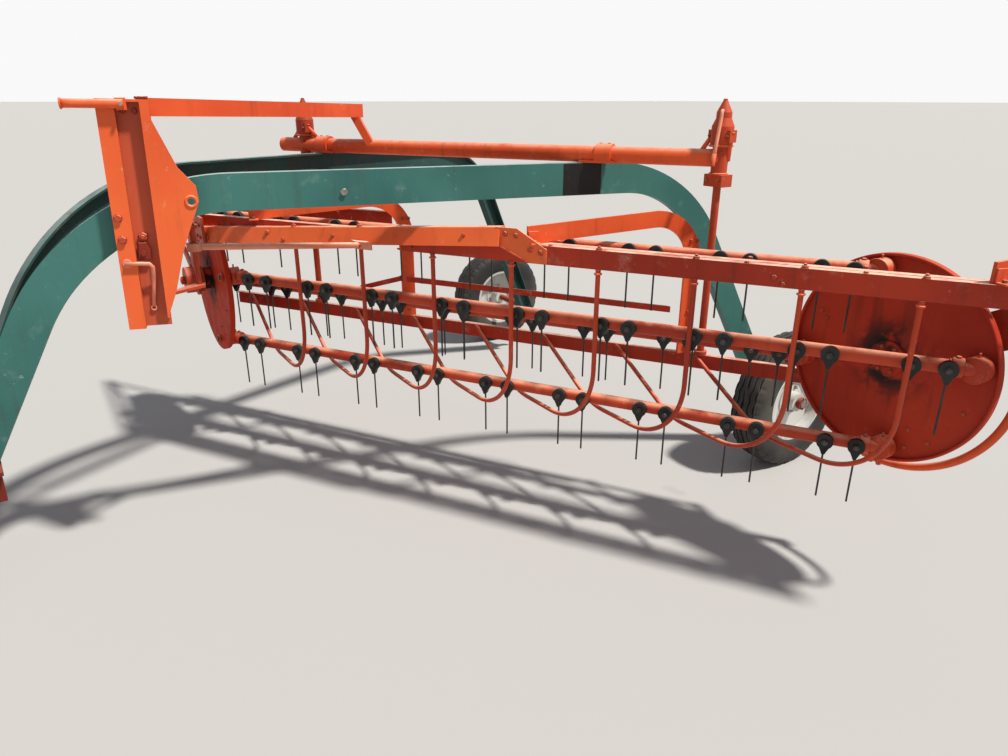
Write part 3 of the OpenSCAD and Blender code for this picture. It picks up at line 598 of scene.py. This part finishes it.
for sleeve in SLEEVES:
    for x in (-28, 28):
        p.bolt(sleeve + Vector((x, -30, 1416)), -Y, 8)
        p.bolt(sleeve + Vector((x, 30, 1416)), Y, 8, end=True)
    for x in (-44, 44):
        p.bolt(sleeve + Vector((x, -18, 1580)), -Y, 7, end=True)
    p.bolt(sleeve + Z * 1708, Z, 9, washer=False)
guide = Vector((1019, -254, 0))
p.bolt(guide + Z * 1280, Z, 12)
p.bolt(guide + Z * 1056, -Z, 12)
for sleeve in SLEEVES:
    p.nipple(sleeve + Vector((25, -18, 1520)), V)
p.done()

# bolt through the near beam's web
p = Piece("beam_bolt", "frame", "bolt")
p.bolt(near(1488, 0, 1387), OUT, 12)
p.bolt(near(1488, -8, 1387), -OUT, 12, end=True)
p.done()

# rod, clip and boss ring on the mast
p = Piece("mast_cross_rod", "frame", "bright", "bolt")
rod_w = 63
p.tube([near(s, rod_w, z) for s, z in ((628, 1697), (660, 1697), (790, 1695), (806, 1695))], 14, 16)
p.ring(near(628, rod_w, 1697), ALONG, 15, 3)
p.ring(mast(250, MAST_FACE, 1388), OUT, 17, 5, 32)
p.plate([near(s, 48, z) for s, z in ((780, 1676), (812, 1676), (812, 1714), (780, 1714))], OUT, 8)
p.tube([near(798, 50, 1695), near(798, 86, 1695)], 6, 12, 1)
p.done()

# bent pin and lug in the mast's recess
p = Piece("recess_pin", "frame", "pink", "dark_red")
bend = ((726, 57, 1183), (775, 57, 1181), (800, 55, 1178), (808, 48, 1166), (804, 30, 1130), (798, 18, 1090))
p.tube([near(*place) for place in bend] + [near(788, 15, 1022)], 7, 12)
p.turned(near(731, 47, 1183), OUT, [(0, 15), (4, 15), (5, 13)], 20)
p.ring(near(787, 15, 1014), OUT, 8, 3)
lug = ((766, 1188), (806, 1188), (808, 1222), (798, 1248), (774, 1248))
p.plate([near(s, RECESS_FLOOR, z) for s, z in lug], OUT, 22, 2, 1)
p.tube([near(786, 28, 1212), near(786, 38, 1212)], 9, 16, 1)
p.done()

# lift cranks, each from its sleeve's top down to a grip
p = Piece("sleeve_crank", "frame", "pink", "weld_orange")
for sleeve, reach in ((SLEEVES[1], Vector((40, -82, 1480))), (SLEEVES[0], Vector((-45, 62, 1505)))):
    top = sleeve + Vector((reach.x * 0.35, reach.y * 0.35, 1655))
    low = sleeve + reach
    p.tube([sleeve + Z * 1672, top + Z * 14, top, top.lerp(low, 0.5), low], 7, 12)
    p.tube([top.lerp(low, 0.78), low, low - Z * 6], 9, 14, 1)
p.done()

# braces from the sleeves' lugs down to the lift tube, and the sleeves' collars
p = Piece("sleeve_braces", "frame", "orange")
for sleeve, right_run, right_foot in ((SLEEVES[0], 74, 1528), (SLEEVES[1], 30, 1490)):
    for x, run, foot in ((-46, -70, 1528), (46, right_run, right_foot)):
        start = sleeve + Vector((x, 0, 1584))
        end = sleeve + U * run + Z * foot
        p.tube([start, start.lerp(end, 0.5), end], 9, 12)
        p.dome(start + Z * 8, Z, 12, 5)
    p.ring(sleeve + Z * 1615, Z, 33, 5)
    p.ring(sleeve + Z * 1545, Z, 43, 4)
    p.ring(sleeve + Z * 1442, Z, 33, 4, wobble=0.1)
p.done()


# weld beads on the frame
def recess_side(z):
    """Foot of the recess's front wall, on the beam's web."""
    return near(MAST_S + RECESS_WALL + (z - MAST_LOW) * math.sin(MAST_LEAN), 1, z)


def boom_top(t):
    """Point across the boom's front end."""
    return Vector((1075 + t * 0.86, -360 + t * 0.5, 1714))


p = Piece("frame_welds", "frame", "weld_orange")
for z in (1440, 1350, 1210, 1090, 1010):
    p.weld(recess_side(z), recess_side(z + 44))
for start, end in ((-29, 29), (-29, -29), (29, 29)):
    p.weld(boom_top(start), boom_top(end))
p.weld(head(84, -95, 458), head(84, 95, 458), 5)
p.done()

# fasteners on the basket
p = Piece("basket_bolts", "basket", "bolt_paint")
for s, z in ((1353, 1238), (1398, 1234), (1456, 1185), (1498, 1178)):
    p.bolt(rail(s, 8.3, z), V, 10)
for s, drop, size in ((202, 22, 10), (297, 52, 10), (-186, 20, 10), (-150, 48, 10), (560, 34, 8), (1180, 30, 8)):
    p.bolt(rail(s, 6.3 + BAR_LEAN * drop, bar_top(s) - drop), V + Z * BAR_LEAN, size)
for k in range(STRIPPERS):
    s, spot = stripper(k)
    leaning = s < RAIL_START
    p.bolt(spot + Z * (bar_top(s) if leaning else RAIL_TOP), Z, 11, end=True)
    if not leaning:
        p.bolt(spot + Z * RAIL_LEDGE, -Z, 10)
for s, z in ((900, 1172), (930, 1150), (2322, 1166), (2352, 1144), (3150, 1166), (3210, 1150), (3240, 1180)):
    p.bolt(rail(s, 0, z), V, 9)
for s in (1530, 2230, 2590, 3130):
    for w in (-10, -92):
        p.bolt(rail(s, w, RAIL_TOP), Z, 8)
for s in ARCHES:
    foot = arch_foot(s)
    for u in (14, 30):
        p.bolt(foot + ARCH_ALONG * u + ARCH * 6 + Z * 1236, ARCH, 7)
    p.bolt(foot + ARCH * 26 + ARCH_ALONG * 22 + Z * 1211, Z, 8)
    if s < ARCHES[-1]:
        for u, z in ((703, 887), (690, 1180), (716, 1180), (703, 735), (703, 770)):
            p.bolt(foot + ARCH_ALONG * u + ARCH * 6 + Z * z, ARCH, 8)
for x, z in ((232, 1165), (300, 1165), (236, 1108), (296, 1108), (-100, 1168), (-420, 1168), (-560, 1168)):
    p.bolt(Vector((x, FRONT_END_FACE, z)), -Y, 9)
front_bearing = Vector((0, FRONT_END_FACE, REEL_Z))
rear_bearing = Vector((REAR_X, REAR_END_FACE, REEL_Z))
for k in range(4):
    spread = around(X, Z, 72, math.pi * (k / 2 + 0.25))
    p.bolt(front_bearing + spread, -Y, 6, washer=False)
    p.bolt(rear_bearing + spread, Y, 6, washer=False)
for x, z in ((3110, 1185), (3180, 1160), (2130, 690), (2170, 668), (2586, 450)):
    p.bolt(Vector((x, REAR_END_FACE, z)), Y, 9)
p.nipple(front_bearing + Vector((0, -13, 65)), Z)
p.nipple(rear_bearing + Vector((0, 25, 65)), Z)
p.bolt(Vector((1084, 376, 1150)) + V * 12, V, 8)
p.done()

# cleats at the arch feet, collars on the strippers, and welds
p = Piece("basket_cleats", "basket", "orange")
for s in ARCHES:
    foot = arch_foot(s) + ARCH * 6.2 + Z * 1203.2
    a, b = foot + ARCH_ALONG * 2, foot + ARCH_ALONG * 42
    p.plate([a, b, b + ARCH * 42, a + ARCH * 42], Z, 6, 1.2)
    p.plate([a, b, b + Z * 46, a + Z * 46], ARCH, 6, 1.2)
for k in range(STRIPPERS):
    s, spot = stripper(k)
    height = bar_top(s) - 22 if s < RAIL_START else RAIL_TOP - 86
    p.ring(spot + Z * height, Z, 11, 4, 20, 8, wobble=0.12)
p.weld(rail(RAIL_START, 0.5, 1135), rail(RAIL_START, 0.5, 1200))
p.weld(rail(1316, 9, 1196), rail(1444, 9, 1140), 3.5)
p.weld(rail(1470, 1, RAIL_TOP), rail(1516, 1, RAIL_TOP))
p.weld(Vector((2600, 1786, 918)), Vector((2650, 1786, 950)), 5)
for bearing, way in ((front_bearing, -1), (rear_bearing, 1)):
    p.ring(bearing + Y * 2 * way, Y, 66, 4, 40, 8, wobble=0.15)
p.done()

# clamps that hold the end guard
p = Piece("guard_clamps", "basket", "bolt_paint")
rod_y = 1773.7
for centre, run, off in ((Vector((2998, rod_y, 1040)), Z, X), (Vector((2590, rod_y, 445)), X, Z)):
    for t in (-1, 1):
        at = centre + run * 16 * t
        half = [(16, 19), (0, 19), (-14, 13), (-19, 0)]
        bend = [at + Y * y + off * reach for y, reach in half]
        bend += [at + Y * y - off * reach for y, reach in half[2::-1]]
        p.tube(bend, 4.5, 8)
        for side in (-1, 1):
            p.bolt(at + off * 19 * side + Y * 26.6, Y, 7, end=True)
p.done()

# hub bolts, blank bolts and shaft collars of the discs
DISCS = (
    ("front_disc_bolts", "front_disc", 0, FRONT_FACE, 1, FRONT_SHAFT),
    ("rear_disc_bolts", "rear_disc", REAR_X, REAR_FACE, -1, REAR_SHAFT),
)
for name, body, x, y, way, shaft in DISCS:
    p = Piece(name, body, "bolt_paint")
    inward = Y * way
    centre = Vector((x, y, REEL_Z))
    for k in range(6):
        p.bolt(centre + around(X, Z, 47, math.pi * k / 3), inward, 7)
    for dx, dz in ((-284, 111), (-258, 86), (121, -301), (194, -255), (121, -231), (284, -111)):
        hole = centre + Vector((dx, 0, dz))
        p.bolt(hole - inward * 10, inward, 7)
        p.bolt(hole - inward * 15, -inward, 6, washer=False, end=True)
    end = Vector((x, shaft, REEL_Z))
    p.turned(end, -inward, [(-1, 17), (1, 17), (1, 14), (4, 13)], 24)
    p.tube([end + inward * 8 - X * 26, end + inward * 8 + X * 26], 3, 8)
    p.done()

# bolts and castings of the tine bars
for k in (1, 2, 3, 4):
    px, pz = pivot(k)
    name = str(k)
    front_end = Vector((px, BAR_START, pz))
    rear_end = Vector((px + REAR_X, BAR_END, pz))

    p = Piece("tine_bolts_" + name, "tine_bar_" + name, "dark_bolt")
    for i in range(TINE_PAIRS):
        for j in (0, 1):
            spot = front_end + U * (FIRST_BLOCK + PITCH * i + PAIR_GAP * j)
            face = spot + V * 52.3
            p.turned(face, V, [(-1, 10.5), (1.6, 10.8), (2, 10)], 16)
            p.turned(face, V, [(1, 8.2), (6, 8.6), (7.2, 7.4)], 6, turn=p.dice.uniform(0, 1))
            p.bolt(spot - V * 24, -V, 6, end=True)
    for x, y, way in ((px, FRONT_SPINDLE, -1), (px + REAR_X, REAR_SPINDLE, 1)):
        nut = [(-1, 14), (5, 14), (6, 12.4)]
        p.turned(Vector((x, y, pz)), Y * way, nut, 6, turn=p.dice.uniform(0, 1))
    p.done()

    p = Piece("bar_castings_" + name, "tine_bar_" + name, "bar", "bolt_paint")
    for hub, run in ((front_end, U), (rear_end, -U)):
        p.turned(hub + run * 36, run, [(0, 31), (4, 33), (30, 33), (38, 26)], 24, smooth=True)
        p.ring(hub + run * 76, run, 25, 3, 24, 8, wobble=0.12)
        p.nipple(hub + Z * 41, Z)
        p.turned(hub + run * 54, Z, [(26, 9), (36, 9), (38, 8)], 6, 1)
        for side in (-1, 1):
            p.ring(hub + Y * 20 * side, Y, 41, 2.6, 36, 8)
    p.done()


# wheels
TYRE_R = 330
TYRE_HALF = 88
RIM_SEAT = 195
CROWN_DROP = 0.0016
GROOVE = 11
RIB_STEPS = 120


def tyre_profile():
    """(radius, sideways) points round the tyre: side wall, six ribs, other wall, bead seat."""
    half = TYRE_HALF
    wall = [(191, 22 - half), (197, 12 - half), (214, 6 - half), (250, 1 - half), (284, 3 - half), (300, 9 - half)]
    ribs = [(16 - half, -62), (-57, -34), (-28, -6), (6, 28), (34, 57), (62, half - 16)]
    profile = list(wall)
    for i, (low, high) in enumerate(ribs):
        left, right = [TYRE_R - CROWN_DROP * e * e - (8 if abs(e) > 66 else 0) for e in (low, high)]
        if i:
            profile += [(left - GROOVE, low - 0.5)]
        profile += [(left - 1.5, low), (left, low + 2), (right, high - 2), (right - 1.5, high)]
        if i < len(ribs) - 1:
            profile += [(right - GROOVE, high + 0.5)]
    profile += [(r, -e) for r, e in wall[::-1]]
    return profile + [(RIM_SEAT, half - 30), (RIM_SEAT, 0), (RIM_SEAT, 30 - half)]


def ribbed_tyre(name, body, hub):
    """Tyre with waved ribs and notched shoulders."""
    mesh = bmesh.new()
    profile = tyre_profile()
    rings = []
    for i in range(RIB_STEPS):
        t = 2 * math.pi * i / RIB_STEPS
        ring = []
        for r, e in profile:
            wave = 2.4 * (1 if i % 4 < 2 else -1) if r > 310 and abs(e) < 60 else 0
            notch = 5 if 296 < r < TYRE_R and abs(e) > 60 and i % 4 == 0 else 0
            place = hub + X * (e + wave) + around(Y, Z, r - notch, t)
            ring.append(mesh.verts.new(mm(*place)))
        rings.append(ring)
    for i in range(RIB_STEPS):
        here, there = rings[i], rings[(i + 1) % RIB_STEPS]
        for j in range(len(profile)):
            m = (j + 1) % len(profile)
            mesh.faces.new((here[j], here[m], there[m], there[j])).smooth = profile[j][0] < 310
    return finish_mesh(name, body, mesh, ["tyre"])


WHEELS = (
    ("left", APEX + ALONG * NEAR_LEG, NEAR_HUB_X, 1),
    ("right", APEX + FAR_ALONG * FAR_LEG, FAR_HUB_X, -1),
)
cotters = Piece("axle_cotters", "frame", "bolt")
for name, leg, x, way in WHEELS:
    body = "wheel_" + name
    side = X * way
    hub = Vector((x, leg.y, AXLE_Z))
    p = Piece("wheel_nuts_" + name, body, "bolt", "block")
    for k in range(5):
        spot = around(Y, Z, 64, math.radians(72 * k))
        p.bolt(hub + spot + side * 24, side, 9, end=True)
        p.turned(hub + spot + side * 4, -side, [(-1, 11), (7, 11), (9, 9)], 12)
    stem = hub + Z * 152
    p.tube([stem + side * 10, stem + side * 34 + Z * 3, stem + side * 56 + Z * 8], 4.2, 10, 1)
    p.turned(stem + side * 54 + Z * 7.6, side, [(0, 5.4), (10, 5.4), (11, 4)], 10)
    p.nipple(hub + Y * 44 + side * 40, Y)
    p.done()

    tyre = ribbed_tyre("ribbed_tyre_" + name, body, hub)
    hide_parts("tyre_" + name)

    end = hub + side * 96
    cotters.turned(end, side, [(-1, 22), (3, 22), (4, 20)], 6)
    cotters.tube([end + side * 2 - Z * 30, end + side * 2 + Z * 30, end - side * 4 + Y * 6 + Z * 38], 2.5, 8)
cotters.done()

# parking jack
p = Piece("jack_fittings", "frame", "bolt", "grip", "steel")
grip = [(0, 13), (4, 14.5), (22, 15), (60, 15), (84, 14), (92, 9)]
p.turned(head(10, 280, 668), Z, grip, 20, 1, smooth=True)
p.tube([head(10, 92, 300), head(10, 168, 300)], 6, 12, 2)
p.ring(head(10, 178, 300), HEAD, 11, 2.4)
p.ring(head(10, 130, 232), Z, 30, 4)
p.ring(head(10, 130, 658), Z, 31, 4)
p.bolt(head(10, 130, 694), Z, 9)
p.done()

# welds, clips and a loom on the drawbar
p = Piece("drawbar_fittings", "frame", "dark_red", "bolt", "grip")
p.weld(head(1146, -45, 440), head(1146, 45, 440), 5)
p.weld(head(1146, -45, 354), head(1146, -45, 440), 5)
p.weld(head(1146, 45, 354), head(1146, 45, 440), 5)
for z in (434.5, 359.5):
    p.ring(head(1240, 0, z), Z, 20, 4, material=1)
for x in (300, 620, 940):
    p.tube([head(x, -45.5, 352), head(x, -47, 398), head(x, -45.5, 442)], 2.5, 8, 1)
    p.bolt(head(x, -45, 398), -HEAD_SIDE, 6)
loom = ((900, 47, 425), (700, 49, 418), (500, 48, 424), (300, 49, 418), (120, 50, 424))
p.tube([head(*place) for place in loom], 5, 10, 2)
p.done()

# floor
FLOOR_HALF = 400
corners = [(-FLOOR_HALF, -FLOOR_HALF, 0), (FLOOR_HALF, -FLOOR_HALF, 0)]
corners += [(FLOOR_HALF, FLOOR_HALF, 0), (-FLOOR_HALF, FLOOR_HALF, 0)]
floor_mesh = bpy.data.meshes.new("floor")
floor_mesh.from_pydata(corners, [], [(0, 1, 2, 3)])
floor = bpy.data.objects.new("floor", floor_mesh)
bpy.context.scene.collection.objects.link(floor)
floor_paint = Graph("floor_matt")
floor_mesh.materials.append(floor_paint.finish((0.47, 0.463, 0.45), 0.95, specular=0.1))
floor.location.z = -0.001

# sky: pale light, seen by the camera and by reflections as plain white
world = bpy.context.scene.world or bpy.data.worlds.new("studio")
bpy.context.scene.world = world
world.use_nodes = True
sky = world.node_tree
background = sky.nodes["Background"]
background.inputs["Color"].default_value = (0.86, 0.9, 1.0, 1)
background.inputs["Strength"].default_value = 0.3
seen = sky.nodes.new("ShaderNodeBackground")
seen.inputs["Color"].default_value = (0.95, 0.95, 0.95, 1)
seen.inputs["Strength"].default_value = 1.0
path = sky.nodes.new("ShaderNodeLightPath")
seen_by = path.outputs["Is Camera Ray"]
for kind in ("Is Glossy Ray", "Is Transmission Ray"):
    either = sky.nodes.new("ShaderNodeMath")
    either.operation = "MAXIMUM"
    sky.links.new(seen_by, either.inputs[0])
    sky.links.new(path.outputs[kind], either.inputs[1])
    seen_by = either.outputs[0]
swap = sky.nodes.new("ShaderNodeMixShader")
sky.links.new(seen_by, swap.inputs["Fac"])
sky.links.new(background.outputs[0], swap.inputs[1])
sky.links.new(seen.outputs[0], swap.inputs[2])
sky.links.new(swap.outputs[0], sky.nodes["World Output"].inputs["Surface"])


# lamps
def sun(name, toward, strength, degrees, colour):
    """A soft far lamp shining along the given direction."""
    lamp = bpy.data.lights.new(name, "SUN")
    lamp.energy = strength
    lamp.angle = math.radians(degrees)
    lamp.color = colour
    holder = bpy.data.objects.new(name, lamp)
    holder.rotation_euler = Vector(toward).to_track_quat("-Z", "Y").to_euler()
    bpy.context.scene.collection.objects.link(holder)


sun("key", (-0.5, -0.37, -1.0), 4.6, 4, (1.0, 0.96, 0.9))
sun("fill", (-0.7, 0.6, -0.5), 0.2, 60, (0.95, 0.97, 1.0))

# camera, placed and turned as the photo's was, seen from the drawing point
CAMERA_AT = Vector((3.9252, -0.7442, 1.713))
RIGHT = Vector((0.53762, 0.84319, 0.00125))
UP = Vector((-0.30128, 0.19071, 0.93427))
BACK = Vector((0.78752, -0.50266, 0.35657))
FOCAL_PIXELS = 733.09
PHOTO_PIXELS = 1008
camera_data = bpy.data.cameras.new("camera")
camera = bpy.data.objects.new("camera", camera_data)
bpy.context.scene.collection.objects.link(camera)
turn = Matrix((RIGHT, UP, BACK)).transposed().to_4x4()
camera.matrix_world = Matrix.Translation(CAMERA_AT + ORIGIN) @ turn
camera_data.sensor_width = 36
camera_data.lens = FOCAL_PIXELS / PHOTO_PIXELS * camera_data.sensor_width
camera_data.clip_end = 1500
bpy.context.scene.camera = camera
bpy.context.scene.view_settings.view_transform = "Standard"
